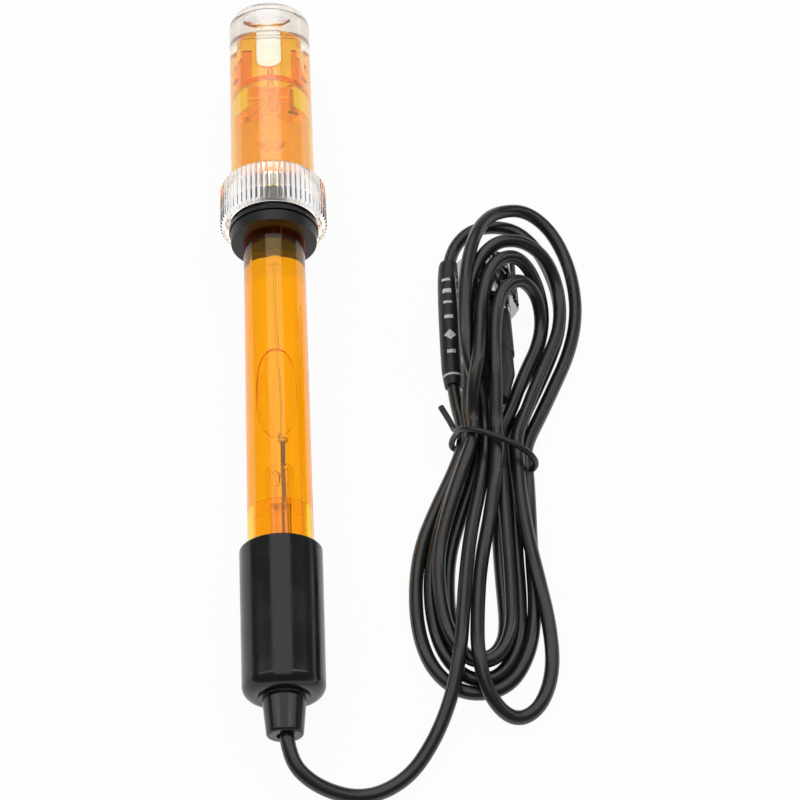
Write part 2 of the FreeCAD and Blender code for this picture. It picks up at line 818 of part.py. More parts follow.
def cable_hank():
    """The hank's outer shape with the room that the plug and the marker sleeve take."""
    form = hank_form()
    rooms = doc.addObject("Part::MultiFuse", "hank_rooms")
    rooms.Shapes = [
        clearance("boot_room", s.boot_front_radius + s.soft_gap / 2, dim(0), BOOT_END, PLUG_LYING),
        clearance("metal_room", s.coupling_radius + s.soft_gap, BOOT_END - s.soft_gap,
                  COUPLING_END + s.soft_gap, PLUG_LYING),
        clearance("marker_room", s.marker_radius + s.glue_gap, -s.soft_gap / 2,
                  s.marker_length + s.soft_gap / 2, MARKER_LYING),
    ]
    piece = doc.addObject("Part::Cut", "cable_hank")
    piece.Base = form
    piece.Tool = rooms
    doc.recompute()
    return piece


def marker_sleeve():
    """Shrunk marker sleeve on the cable."""
    bore = s.cable_radius + s.glue_gap
    return turned("marker_sleeve", [
        (bore, 0),
        (s.marker_radius, 0),
        (s.marker_radius, s.marker_length),
        (bore, s.marker_length),
    ], MARKER_LYING)


# Corners of the wire tie, across the waist, along the hank and up, from its free tail to its end
TIE_ROUTE = [
    FreeCAD.Vector(-8.7, 7.2, 3.4),
    FreeCAD.Vector(-8.3, 1.3, 4.4),
    FreeCAD.Vector(-6.9, 0.9, 8.6),
    FreeCAD.Vector(0, 0.5, 9.6),
    FreeCAD.Vector(6.9, 0.1, 8.4),
    FreeCAD.Vector(8.1, -0.2, 4.2),
    FreeCAD.Vector(6.4, -0.4, 0.7),
    FreeCAD.Vector(0, -0.6, 0.64),
    FreeCAD.Vector(-6.4, -0.8, 0.7),
    FreeCAD.Vector(-8.1, -1.0, 3.2),
]


def cable_tie():
    """Coated wire tie bent round the hank's waist, with one free tail."""
    place = FreeCAD.Placement(
        FreeCAD.Vector(s.waist_x.value, s.waist_y.value, 0),
        FreeCAD.Rotation(FreeCAD.Vector(0, 0, 1), s.tie_turn.value),
    )
    return swept_round("cable_tie", TIE_ROUTE, s.tie_radius.value, 0.45, place)


def plug_boot():
    """Black moulded boot: tapered tail, plain barrel and a slightly thicker grip next to the metal."""
    bore = s.cable_radius + s.glue_gap
    barrel = s.boot_front_radius - s.boot_step
    grip = BOOT_END - s.boot_grip
    body = turned("plug_boot", [
        (0, s.boot_bore_depth),
        (bore, s.boot_bore_depth),
        (bore, 0),
        (s.boot_tail_radius, 0),
        (barrel, s.boot_taper),
        (barrel, grip - s.boot_step),
        (s.boot_front_radius, grip),
        (s.boot_front_radius, BOOT_END),
        (0, BOOT_END),
    ], PLUG_LYING)
    eased(body, "Fillet", s.coupling_edge, [(s.boot_front_radius, BOOT_END)])
    return body


def plug_body():
    """Nickel plated plug body: rear ferrule, shank that carries the coupling, and outer contact."""
    bore = s.contact_radius - s.contact_wall
    body = turned("plug_body", [
        (0, BOOT_END),
        (s.ferrule_radius, BOOT_END),
        (s.ferrule_radius, FERRULE_END),
        (s.shank_radius, FERRULE_END),
        (s.shank_radius, SHANK_END),
        (s.contact_radius, SHANK_END),
        (s.contact_radius, CONTACT_END),
        (bore, CONTACT_END),
        (bore, SHANK_END),
        (0, SHANK_END),
    ], PLUG_LYING)
    eased(body, "Chamfer", s.contact_wall, [(s.ferrule_radius, BOOT_END)])
    return body


def plug_insulator():
    """White insulator that holds the centre pin."""
    hole = s.plug_pin_radius + s.glue_gap
    return turned("plug_insulator", [
        (hole, SHANK_END),
        (s.insulator_radius, SHANK_END),
        (s.insulator_radius, SHANK_END + s.insulator_length),
        (hole, SHANK_END + s.insulator_length),
    ], PLUG_LYING)


def plug_pin():
    """Gold plated centre pin with a pointed end."""
    end = SHANK_END + s.plug_pin_length
    return turned("plug_pin", [
        (0, SHANK_END),
        (s.plug_pin_radius, SHANK_END),
        (s.plug_pin_radius, end - s.plug_pin_radius),
        (s.plug_pin_radius / 3, end),
        (0, end),
    ], PLUG_LYING)


def plug_gasket():
    """Rubber ring at the root of the outer contact."""
    inner = s.contact_radius + s.glue_gap
    outer = s.coupling_radius - s.coupling_wall - s.turning_gap
    return turned("plug_gasket", [
        (inner, SHANK_END),
        (outer, SHANK_END),
        (outer, SHANK_END + s.gasket_length),
        (inner, SHANK_END + s.gasket_length),
    ], PLUG_LYING)


def plug_coupling():
    """Knurled bayonet ring that turns on the plug body, with its two dog-leg slots."""
    bore = s.coupling_radius - s.coupling_wall
    shoulder = s.shank_radius + s.coupling_gap
    shoulder_end = SHANK_END - s.coupling_gap
    body = turned("plug_coupling", [
        (shoulder, COUPLING_BACK),
        (s.coupling_radius, COUPLING_BACK),
        (s.coupling_radius, COUPLING_END),
        (bore, COUPLING_END),
        (bore, shoulder_end),
        (shoulder, shoulder_end),
    ], PLUG_LYING)
    eased(body, "Chamfer", s.coupling_edge, [
        (s.coupling_radius, COUPLING_BACK),
        (s.coupling_radius, COUPLING_END),
    ])
    sketch, groove = cut_through(body, "rib", "XY_Plane")
    half = s.coupling_groove * 1.2
    outline(sketch, [
        (s.coupling_radius - s.coupling_groove, 0),
        (s.coupling_radius + s.coupling_groove, half * 2),
        (s.coupling_radius + s.coupling_groove, -(half * 2)),
    ])
    groove.Type = "ThroughAll"
    doc.recompute()
    repeated(body, groove, s.coupling_ribs)
    sketch, slot = cut_through(body, "bayonet", "XZ_Plane")
    half = s.bayonet_width / 2
    mouth = COUPLING_END + 1
    floor = COUPLING_END - s.bayonet_reach
    outline(sketch, [
        (-half, mouth),
        (-half, floor + s.bayonet_shift),
        (s.bayonet_shift - half, floor),
        (s.bayonet_shift + half, floor),
        (s.bayonet_shift + half, floor + half),
        (half, floor + s.bayonet_shift + half),
        (half, mouth),
    ])
    doc.recompute()
    return body


def build():
    """Make every piece and write each to its own file."""
    makers = [
        body_tube, tip_guard, tip_plug, junction_frit, glass_stem, platinum_pin, stem_seal, lead_sleeve,
        signal_wire, solder_bead, platinum_lead, reference_wire, cap, seal_collar, bottle_nut,
        storage_bottle, cable_lead, cable_hank, marker_sleeve, cable_tie, plug_boot, plug_body,
        plug_insulator, plug_pin, plug_gasket, plug_coupling,
    ]
    pieces = {maker.__name__: maker() for maker in makers}
    doc.recompute()
    for item in doc.Objects:
        if "Invalid" in item.State or "Error" in item.State:
            raise ValueError(f"{item.Name} did not recompute: {item.State}")
    for name, piece in pieces.items():
        piece.Label = name
        shape = piece.Shape
        if shape.isNull() or not shape.isValid():
            raise ValueError(f"{name} is not a valid solid")
        print(name, "solids", len(shape.Solids), "volume", round(shape.Volume, 2))
        shape.exportStep(f"parts/{name}.step")


build()
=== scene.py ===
# %% [markdown]
# # A redox electrode in its storage bottle
#
# A laboratory electrode lies on a white table: an amber plastic shaft, a black cap, a clear bottle of
# storage liquid on its tip, and a thin black cable tied in a hank. The solids come from the frame, in
# metres, and this lesson gives them their finishes and adds what a solid model leaves out.

# %% Load the frame
import math

import bpy
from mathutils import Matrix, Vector


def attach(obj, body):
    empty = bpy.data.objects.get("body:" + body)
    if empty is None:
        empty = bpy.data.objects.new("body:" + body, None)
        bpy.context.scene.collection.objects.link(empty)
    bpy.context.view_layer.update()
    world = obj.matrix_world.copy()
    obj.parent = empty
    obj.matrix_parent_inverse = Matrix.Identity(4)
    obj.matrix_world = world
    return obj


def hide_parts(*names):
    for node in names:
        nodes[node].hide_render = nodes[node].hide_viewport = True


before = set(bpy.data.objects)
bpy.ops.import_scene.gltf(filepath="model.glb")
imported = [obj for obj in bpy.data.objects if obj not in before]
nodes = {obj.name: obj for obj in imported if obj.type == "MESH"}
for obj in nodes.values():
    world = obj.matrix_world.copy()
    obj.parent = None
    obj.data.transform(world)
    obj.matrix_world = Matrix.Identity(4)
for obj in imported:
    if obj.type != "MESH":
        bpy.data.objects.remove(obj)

MM = 0.001
bpy.context.view_layer.update()
bpy.ops.object.select_all(action="DESELECT")
print("solids in the frame:", len(nodes))

# %% [markdown]
# ## The camera
#
# A product photograph taken from above with a longish lens. A camera could be aimed with a constraint,
# but a plain position and two angles are easier to read and to repeat.

# %% Camera
LENS, SENSOR = 90.23, 36.0
EYE = (0.0126, -0.217, 0.32495)
DOWN, TURNED = 57.18, 2.901
camera_data = bpy.data.cameras.new("view")
camera_data.lens = LENS
camera_data.sensor_width = SENSOR
camera_data.clip_start = 0.02
camera_data.clip_end = 20
camera = bpy.data.objects.new("view", camera_data)
camera.location = EYE
camera.rotation_euler = (math.radians(90 - DOWN), 0, -math.radians(TURNED))
bpy.context.scene.collection.objects.link(camera)
bpy.context.scene.camera = camera
print("camera looks down by", DOWN, "degrees")

# %% [markdown]
# ## The cable's route
#
# The cable leaves the cap's stub, lies on the table and is wound in a hank: five long turns above the
# tie and five below it, pinched together in the middle. A physics simulation could drop it there, but
# a listed route follows a real hank more closely. Each turn is a short list of points in
# millimetres, and one smooth spline goes past all of them.

# %% Places along the electrode and across the waist
TILT = math.radians(1.8798)
MIDDLE, LEAN, AXIS_HEIGHT = 79.2, 0.0713, 9.5923
WAIST = (40.5, -20.5)
WAIST_TURN = math.radians(-25)
HALF_PASS = 2.2


def on_axis(station):
    """A point on the electrode's axis, station millimetres from the end of the cable stub."""
    along = station - MIDDLE
    return (0.0, along * math.cos(TILT) - LEAN, AXIS_HEIGHT + along * math.sin(TILT))


def at_waist(across, along):
    """A place in the waist, counted across the hank and along it from its middle."""
    return (WAIST[0] + across * math.cos(WAIST_TURN) - along * math.sin(WAIST_TURN),
            WAIST[1] + across * math.sin(WAIST_TURN) + along * math.cos(WAIST_TURN))


def waist_pass(across, height, way):
    """Two points of a strand that goes through the waist, up or down the hank."""
    x, y = at_waist(across, 0.0)
    return [(x, y - way * HALF_PASS, height), (x, y + way * HALF_PASS, height)]


print("stub ends at", [round(v, 2) for v in on_axis(0)])

# %% Turns of the hank, upper and lower, in the order the cable runs
LEAD = [on_axis(5.0), on_axis(-3.4)] + [
    (4.6, -87.4, 4.2), (12.8, -89.4, 1.7), (20.6, -86.0, 1.4), (25.8, -79.0, 2.2),
    (29.2, -71.6, 4.6), (30.9, -64.5, 6.7), (31.9, -57.0, 6.7), (33.0, -48.5, 5.7),
    (34.6, -39.5, 5.4), (36.9, -31.0, 5.3),
]
FIRST_TOP = [
    (38.7, -12.6, 7.9), (36.5, -7.9, 10.5), (35.9, -2.6, 12.4), (36.0, 4.0, 14.0),
    (36.8, 11.4, 15.4), (38.6, 18.6, 15.0), (41.2, 25.2, 12.6), (45.0, 29.8, 9.6),
    (50.4, 31.4, 7.4), (55.2, 28.2, 5.0), (58.2, 22.0, 2.6), (59.2, 14.4, 1.4), (58.5, 7.0, 1.3),
    (56.2, -0.4, 1.3), (53.0, -7.0, 1.3), (50.0, -13.2, 1.5),
]
FIRST_LOW = [
    (46.0, -32.5, 1.5), (45.5, -43.0, 1.3), (45.3, -54.5, 1.3), (43.6, -63.2, 1.3),
    (39.2, -69.9, 1.3), (31.8, -70.8, 1.3), (26.6, -66.6, 1.3), (24.0, -59.5, 1.3),
    (23.7, -50.0, 1.3), (25.2, -41.0, 1.3), (28.6, -33.0, 1.5), (32.2, -26.0, 1.9),
]
SLEEVE_TOP = [
    (33.9, -11.0, 2.0), (33.5, -4.5, 2.1), (33.6, 4.0, 2.1), (33.8, 13.0, 2.1), (34.2, 21.4, 2.2),
    (35.8, 26.6, 2.6), (39.2, 29.4, 4.2), (44.0, 29.4, 5.2), (48.6, 28.2, 5.0), (52.6, 24.4, 3.2),
    (55.0, 19.0, 1.5), (55.9, 12.6, 1.3), (55.3, 6.0, 1.3), (52.8, -0.6, 1.3), (49.6, -7.4, 1.3),
    (46.6, -13.6, 1.5),
]
SECOND_LOW = [
    (43.4, -31.0, 1.3), (42.8, -42.0, 1.3), (42.7, -52.5, 1.3), (41.9, -61.0, 1.3),
    (38.2, -67.7, 1.3), (32.2, -68.0, 1.3), (28.0, -62.6, 1.3), (26.4, -54.5, 1.3),
    (26.8, -45.0, 1.3), (29.6, -36.0, 2.8), (33.0, -28.2, 4.2),
]
THIRD_TOP = [
    (35.7, -13.1, 5.2), (36.3, -7.9, 7.6), (36.6, -3.3, 9.2), (36.9, 2.6, 10.6), (37.0, 8.2, 12.2),
    (38.2, 12.4, 12.9), (40.4, 16.4, 13.6), (44.0, 19.4, 13.8), (48.8, 19.8, 12.6),
    (52.8, 18.2, 9.6), (55.0, 15.0, 6.0), (55.6, 9.4, 4.2), (54.6, 3.5, 4.0), (51.9, -2.4, 4.0),
    (49.1, -8.6, 4.0), (46.8, -14.4, 4.4),
]
LONG_LOW = [
    (44.2, -31.5, 4.4), (44.8, -40.5, 4.1), (46.0, -49.5, 4.2), (47.4, -58.5, 2.8),
    (47.4, -67.0, 1.3), (44.4, -74.0, 1.3), (39.8, -76.2, 1.5), (35.6, -72.8, 4.0),
    (33.8, -65.6, 6.9), (34.5, -56.5, 6.2), (35.8, -46.5, 4.4), (38.2, -37.0, 4.8),
    (39.8, -29.5, 6.6),
]
SMALL_TOP = [
    (41.0, -13.6, 9.4), (41.2, -7.6, 11.6), (41.5, -1.4, 12.4), (42.2, 4.0, 12.8),
    (43.9, 8.4, 13.4), (47.4, 10.8, 12.8), (50.6, 9.8, 9.0), (51.6, 5.8, 4.9), (50.2, 0.4, 4.0),
    (47.8, -4.4, 4.0), (45.7, -9.2, 3.9), (43.8, -14.2, 4.3),
]
FOURTH_LOW = [
    (41.2, -31.0, 4.2), (41.2, -42.0, 3.8), (41.0, -52.0, 3.9), (40.6, -59.6, 3.9),
    (37.6, -65.4, 3.8), (32.4, -65.4, 3.8), (29.2, -60.0, 3.9), (28.0, -52.5, 3.9),
    (28.2, -44.0, 4.1), (30.6, -36.0, 5.8), (33.6, -28.0, 6.9),
]
LAST_TOP = [
    (36.6, -12.8, 11.1), (37.9, -7.7, 13.4), (38.7, -1.6, 13.1), (39.3, 5.0, 12.9),
    (40.8, 11.0, 14.0), (43.6, 14.8, 14.4), (47.4, 15.8, 13.2), (50.6, 13.8, 8.8),
    (52.3, 9.6, 3.2), (51.4, 3.8, 1.4), (48.9, -2.4, 1.3), (45.8, -7.8, 1.3), (43.3, -13.0, 1.4),
]
SMALL_LOW = [
    (40.2, -31.0, 1.5), (39.7, -42.0, 1.3), (39.7, -50.5, 1.3), (39.8, -57.2, 1.3),
    (38.9, -61.2, 1.3), (36.5, -63.8, 1.3), (33.0, -63.8, 1.3), (30.7, -61.2, 1.3),
    (29.8, -57.0, 1.3), (29.6, -50.5, 1.3), (30.4, -43.0, 1.4), (33.0, -35.0, 1.9),
    (35.8, -27.8, 2.2),
]
PLUG_END = [
    (37.2, -21.6, 2.4), (37.4, -17.5, 2.3), (39.4, -14.4, 3.4), (41.3, -11.6, 5.6),
    (41.3, -7.4, 6.0),
]
print("points up to the first turn:", len(LEAD))

# %% The whole route, with where each turn goes up and comes down through the waist
WINDING = [
    ((-2.0, 4.75), FIRST_TOP, (6.2, 2.5), FIRST_LOW),
    ((-6.4, 2.5), SLEEVE_TOP, (2.5, 2.5), SECOND_LOW),
    ((-4.9, 4.75), THIRD_TOP, (4.3, 4.75), LONG_LOW),
    ((0.2, 7.35), SMALL_TOP, (1.0, 4.75), FOURTH_LOW),
    ((-4.4, 7.4), LAST_TOP, (-0.6, 2.5), SMALL_LOW),
]
route = list(LEAD)
for up_at, up_turn, down_at, down_turn in WINDING:
    route += waist_pass(*up_at, 1) + up_turn + waist_pass(*down_at, -1) + down_turn
route += PLUG_END
route = [tuple(value * MM for value in point) for point in route]
print("route has", len(route), "points in", len(WINDING), "turns above the tie and as many below it")

# %% [markdown]
# ## The cable
#
# The cable is 2.6 mm thick and limp. One NURBS curve with a round bevel keeps it a single piece, with
# its thickness the same everywhere. The order is set to 3 after the points are there, because a spline
# with too few points falls back to straight runs. The finished curve is turned into a mesh, because a
# curve object's box counts each point's radius and would come out far too large.

# %% Cable as one curve
CABLE_WIDTH = 0.0026
CURVE_ORDER, STEPS_PER_POINT, ROUNDNESS = 3, 8, 4


def nurbs_curve(name, points, radius):
    """A curve object with one open, smooth spline through space, as thick as the radius says."""
    data = bpy.data.curves.new(name, "CURVE")
    data.dimensions = "3D"
    spline = data.splines.new("NURBS")
    spline.points.add(len(points) - 1)
    for control, place in zip(spline.points, points):
        control.co = (*place, 1.0)
    spline.order_u = CURVE_ORDER
    spline.use_endpoint_u = True
    spline.use_smooth = True
    data.resolution_u = STEPS_PER_POINT
    data.bevel_depth = radius
    data.bevel_resolution = ROUNDNESS
    data.use_fill_caps = radius > 0
    piece = bpy.data.objects.new(name, data)
    bpy.context.scene.collection.objects.link(piece)
    return piece


def as_mesh(piece):
    """Turn a curve object into a mesh with smooth sides."""
    bpy.ops.object.select_all(action="DESELECT")
    bpy.context.view_layer.objects.active = piece
    piece.select_set(True)
    bpy.ops.object.convert(target="MESH")
    bpy.ops.object.shade_smooth_by_angle(angle=math.radians(50))
    bpy.ops.object.select_all(action="DESELECT")


def line_of(name, points):
    """The places that a smooth spline with these control points goes through."""
    thread = nurbs_curve(name, points, 0.0)
    mesh = bpy.data.meshes.new_from_object(thread)
    places = [vertex.co.copy() for vertex in mesh.vertices]
    bpy.data.objects.remove(thread)
    bpy.data.meshes.remove(mesh)
    return places


cable = nurbs_curve("cable", route, CABLE_WIDTH / 2)
as_mesh(cable)
cable_line = line_of("cable_line", route)

# %% [markdown]
# ## The marker sleeve
#
# A short length of shrink sleeve sits on one strand and carries printed marks. It follows the same line
# as the cable, so a thicker curve along that stretch of it is the right start. A smaller radius at its
# two end points shrinks it on to the cable there.

# %% Sleeve round one strand
SLEEVE_FROM, SLEEVE_TO = -0.0070, 0.0230
SLEEVE_SIDE = 0.036
SLEEVE_WIDTH, SLEEVE_LIP = 0.0041, 0.86
turn_start = len(LEAD) + 2 + len(FIRST_TOP) + 2 + len(FIRST_LOW) + 2
sleeve_line = line_of("sleeve_line", route[turn_start - 1:turn_start + len(SLEEVE_TOP)])
sleeve_line = [place for place in sleeve_line
               if SLEEVE_FROM <= place.y <= SLEEVE_TO and place.x < SLEEVE_SIDE]
sleeve_line = sleeve_line[::3] + [sleeve_line[-1]]
sleeve = nurbs_curve("marker_tube", [tuple(place) for place in sleeve_line], SLEEVE_WIDTH / 2)
sleeve.data.bevel_resolution = 6
ends = sleeve.data.splines[0].points
ends[0].radius = ends[-1].radius = SLEEVE_LIP
as_mesh(sleeve)
print("sleeve has", len(sleeve.data.vertices), "points along", len(sleeve_line), "places")

# %% [markdown]
# ## The wire tie
#
# A plastic coated wire goes once round the waist of the hank, with a short free tail on the left. It is
# thin and round too, so it is another smooth curve. Its points are counted from the waist's middle:
# across the hank, along it and up from the table, in millimetres.

# %% Tie round the waist
TIE_RADIUS = 0.0006
TIE_LOOP = [
    (-12.2, 3.0, 4.6), (-9.0, 0.2, 4.8), (-7.6, -1.6, 5.4), (-6.0, -2.2, 8.4), (-3.0, -2.3, 9.9),
    (1.5, -2.2, 9.9), (6.8, -2.1, 8.6), (9.3, -2.1, 5.0), (7.6, -2.3, 0.8), (1.0, -2.6, 0.62),
    (-6.5, -2.6, 0.62), (-8.1, -2.4, 1.1), (-7.5, -1.6, 4.6), (-6.3, -1.9, 7.2),
]
tie_points = [(*at_waist(across, along), up) for across, along, up in TIE_LOOP]
tie = nurbs_curve("wire_tie", [tuple(value * MM for value in point) for point in tie_points], TIE_RADIUS)
as_mesh(tie)
print("tie has", len(tie_points), "points")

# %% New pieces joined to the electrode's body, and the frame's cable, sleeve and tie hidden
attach(cable, "electrode")
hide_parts("cable_lead", "cable_hank")
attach(sleeve, "electrode")
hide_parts("marker_sleeve")
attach(tie, "electrode")
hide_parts("cable_tie")

# %% [markdown]
# ## Liquids
#
# The bottle holds storage liquid with an air pocket at its closed end, and the shaft is filled with
# electrolyte that has one big flat bubble on top and a few small ones. A liquid that touches a clear
# wall is modelled a little larger than the hollow, so that the two surfaces overlap instead of leaving a
# false film of air between them.

# %% Cylinders that lie along the electrode
def applied(name):
    """The object that was just added, named, with its place, turn and scale put into its mesh."""
    piece = bpy.context.active_object
    piece.name = name
    bpy.ops.object.transform_apply(location=True, rotation=True, scale=True)
    return piece


def lying(name, radius, start, end):
    """A closed cylinder along the electrode's axis, between two stations in millimetres."""
    middle = [(a + b) / 2 * MM for a, b in zip(on_axis(start), on_axis(end))]
    bpy.ops.mesh.primitive_cylinder_add(vertices=64, radius=radius * MM, depth=(end - start) * MM,
                                        location=middle, rotation=(TILT - math.radians(90), 0, 0))
    return applied(name)


def bubble(station, side, lift, half_sizes, tilt):
    """An oval body of air beside the axis; places and half sizes are in millimetres."""
    x, y, z = on_axis(station)
    bpy.ops.mesh.primitive_uv_sphere_add(segments=48, ring_count=24, radius=1,
                                         location=((x + side) * MM, y * MM, (z + lift) * MM))
    bpy.context.active_object.scale = [half * MM for half in half_sizes]
    bpy.context.active_object.rotation_euler = (tilt, 0, 0)
    return applied("bubble")


def cut_away(piece, cutter):
    """Take the cutter's form out of the piece, and remove the cutter."""
    bpy.context.view_layer.objects.active = piece
    carve = piece.modifiers.new("carve", "BOOLEAN")
    carve.operation = "DIFFERENCE"
    carve.solver = "EXACT"
    carve.object = cutter
    bpy.ops.object.modifier_apply(modifier="carve")
    bpy.data.objects.remove(cutter)


def settle(piece):
    """Merge doubles and turn all faces outwards."""
    bpy.ops.object.select_all(action="DESELECT")
    piece.select_set(True)
    bpy.context.view_layer.objects.active = piece
    bpy.ops.object.mode_set(mode="EDIT")
    bpy.ops.mesh.select_all(action="SELECT")
    bpy.ops.mesh.remove_doubles(threshold=1e-6)
    bpy.ops.mesh.normals_make_consistent(inside=False)
    bpy.ops.object.mode_set(mode="OBJECT")
    bpy.ops.object.shade_smooth_by_angle(angle=math.radians(35))
    bpy.ops.object.select_all(action="DESELECT")


# %% Storage liquid with its level surface
LIQUID_START, LIQUID_END, LIQUID_RADIUS = 114.3, 157.06, 7.38
LIQUID_LEVEL = 19.12
TIP_END, TIP_RADIUS = 138.9, 5.2
POCKET = (154.6, -0.3, 5.9, (4.6, 2.1, 2.6))
AIR_SIZE = (30, 80, 12)
liquid = lying("storage_liquid", LIQUID_RADIUS, LIQUID_START, LIQUID_END)
bpy.ops.mesh.primitive_cube_add(size=1, location=(0, 0.055, (LIQUID_LEVEL + AIR_SIZE[2] / 2) * MM))
bpy.context.active_object.scale = [side * MM for side in AIR_SIZE]
cut_away(liquid, applied("air"))
cut_away(liquid, bubble(*POCKET, tilt=0))
cut_away(liquid, lying("tip_space", TIP_RADIUS, LIQUID_START - 1, TIP_END))
settle(liquid)
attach(liquid, "bottle")
print("liquid faces:", len(liquid.data.polygons))

# %% Electrolyte with its bubbles
electrolyte = lying("electrolyte", 4.88, 43.3, 133.3)
BUBBLES = [
    (65.4, 0.0, 4.2, (3.9, 9.75, 1.6)), (47.0, -0.4, 4.55, (1.0, 1.6, 0.55)),
    (49.6, 1.5, 4.35, (0.5, 0.6, 0.4)), (128.8, -0.6, 4.35, (2.2, 3.2, 0.8)),
]
for station, side, lift, half_sizes in BUBBLES:
    cut_away(electrolyte, bubble(station, side, lift, half_sizes, tilt=TILT))
settle(electrolyte)
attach(electrolyte, "electrode")
print("electrolyte faces:", len(electrolyte.data.polygons))

# %% [markdown]
# ## Shared effects
#
# Real plastic is never one even colour: it is a little lighter or duller from place to place, and its
# skin has a fine grain. Both come from noise in the piece's own coordinates. They are built once, as a
# node group with named inputs and outputs, and every material sets its own values on it.

# %% A group for uneven colour, uneven gloss and fine grain
def add_sockets(group, inputs, outputs):
    """Give a node group its named inputs, with their defaults, and its outputs."""
    for label, kind, value in inputs:
        socket = group.interface.new_socket(name=label, in_out="INPUT", socket_type=kind)
        socket.default_value = value
    for label, kind in outputs:
        group.interface.new_socket(name=label, in_out="OUTPUT", socket_type=kind)


def add_noise(tree, coordinates, detail, roughness):
    """A noise texture that reads the given coordinates."""
    noise = tree.nodes.new("ShaderNodeTexNoise")
    noise.inputs["Detail"].default_value = detail
    noise.inputs["Roughness"].default_value = roughness
    tree.links.new(coordinates, noise.inputs["Vector"])
    return noise


def add_math(tree, operation, first, second=None, third=None):
    """One Math node, whose inputs are sockets or numbers."""
    math_node = tree.nodes.new("ShaderNodeMath")
    math_node.operation = operation
    for index, value in enumerate((first, second, third)):
        if value is None:
            continue
        if isinstance(value, (int, float)):
            math_node.inputs[index].default_value = value
        else:
            tree.links.new(value, math_node.inputs[index])
    return math_node.outputs[0]


def add_mix(tree, share, first, second):
    """A colour between two others; the second may be a plain colour."""
    mix = tree.nodes.new("ShaderNodeMix")
    mix.data_type = "RGBA"
    tree.links.new(share, mix.inputs[0])
    tree.links.new(first, mix.inputs[6])
    if isinstance(second, tuple):
        mix.inputs[7].default_value = (*second, 1)
    else:
        tree.links.new(second, mix.inputs[7])
    return mix.outputs[2]


def add_range(tree, value, low, high):
    """A Map Range node that turns a value between low and high into 0 to 1."""
    ramp = tree.nodes.new("ShaderNodeMapRange")
    ramp.inputs["From Min"].default_value = low
    ramp.inputs["From Max"].default_value = high
    tree.links.new(value, ramp.inputs["Value"])
    return ramp


def add_place(tree):
    """The piece's own coordinates."""
    return tree.nodes.new("ShaderNodeTexCoord").outputs["Object"]


def add_split(tree, vector):
    """The outputs of a node that divides a vector into X, Y and Z."""
    split = tree.nodes.new("ShaderNodeSeparateXYZ")
    tree.links.new(vector, split.inputs[0])
    return split.outputs


FLOAT, COLOUR = "NodeSocketFloat", "NodeSocketColor"
SPECK_SCALE, SPECK_LIMIT, SPECK_COLOUR = 2400.0, 0.77, (0.55, 0.53, 0.5)
skin_group = bpy.data.node_groups.new("uneven skin", "ShaderNodeTree")
add_sockets(
    skin_group,
    [("Colour", COLOUR, (0.5, 0.5, 0.5, 1)), ("Shade", COLOUR, (0.4, 0.4, 0.4, 1)),
     ("Patch Scale", FLOAT, 200.0), ("Patch Amount", FLOAT, 0.5), ("Grain Scale", FLOAT, 6000.0),
     ("Gloss Low", FLOAT, 0.2), ("Gloss High", FLOAT, 0.3), ("Speck Amount", FLOAT, 0.0)],
    [("Colour", COLOUR), ("Roughness", FLOAT), ("Height", FLOAT)],
)
tree = skin_group
inside = tree.nodes.new("NodeGroupInput").outputs
outside = tree.nodes.new("NodeGroupOutput").inputs
place = add_place(tree)
patches = add_noise(tree, place, 3.0, 0.55)
tree.links.new(inside["Patch Scale"], patches.inputs["Scale"])
grain = add_noise(tree, place, 2.0, 0.5)
tree.links.new(inside["Grain Scale"], grain.inputs["Scale"])
specks = add_noise(tree, place, 0.0, 0.0)
specks.inputs["Scale"].default_value = SPECK_SCALE
share = add_math(tree, "MULTIPLY", patches.outputs["Fac"], inside["Patch Amount"])
uneven = add_mix(tree, share, inside["Colour"], inside["Shade"])
dots = add_math(tree, "GREATER_THAN", specks.outputs["Fac"], SPECK_LIMIT)
dots = add_math(tree, "MULTIPLY", dots, inside["Speck Amount"])
tree.links.new(add_mix(tree, dots, uneven, SPECK_COLOUR), outside["Colour"])
gloss = add_range(tree, patches.outputs["Fac"], 0.35, 0.65)
tree.links.new(inside["Gloss Low"], gloss.inputs["To Min"])
tree.links.new(inside["Gloss High"], gloss.inputs["To Max"])
tree.links.new(gloss.outputs["Result"], outside["Roughness"])
tree.links.new(grain.outputs["Fac"], outside["Height"])
print("group", tree.name, "has", len(tree.nodes), "nodes")

# %% A material made with that group
def base_material(name, colour, shade, patch=(200, 0.6), grain=6000, gloss=(0.2, 0.3), bump=0.1,
                  depth=0.00002, specks=0.0, shine=0.5, metallic=0.0):
    """A material with the uneven skin joined to one Principled shader; shine is its specular level."""
    material = bpy.data.materials.new(name)
    material.use_nodes = True
    tree = material.node_tree
    shader = tree.nodes["Principled BSDF"]
    skin = tree.nodes.new("ShaderNodeGroup")
    skin.node_tree = skin_group
    settings = {"Colour": (*colour, 1), "Shade": (*shade, 1), "Patch Scale": patch[0],
                "Patch Amount": patch[1], "Grain Scale": grain, "Gloss Low": gloss[0],
                "Gloss High": gloss[1], "Speck Amount": specks}
    for label, value in settings.items():
        skin.inputs[label].default_value = value
    shader.inputs["Specular IOR Level"].default_value = shine
    shader.inputs["Metallic"].default_value = metallic
    tree.links.new(skin.outputs["Colour"], shader.inputs["Base Color"])
    tree.links.new(skin.outputs["Roughness"], shader.inputs["Roughness"])
    relief = tree.nodes.new("ShaderNodeBump")
    relief.inputs["Strength"].default_value = bump
    relief.inputs["Distance"].default_value = depth
    tree.links.new(skin.outputs["Height"], relief.inputs["Height"])
    tree.links.new(relief.outputs["Normal"], shader.inputs["Normal"])
    return material


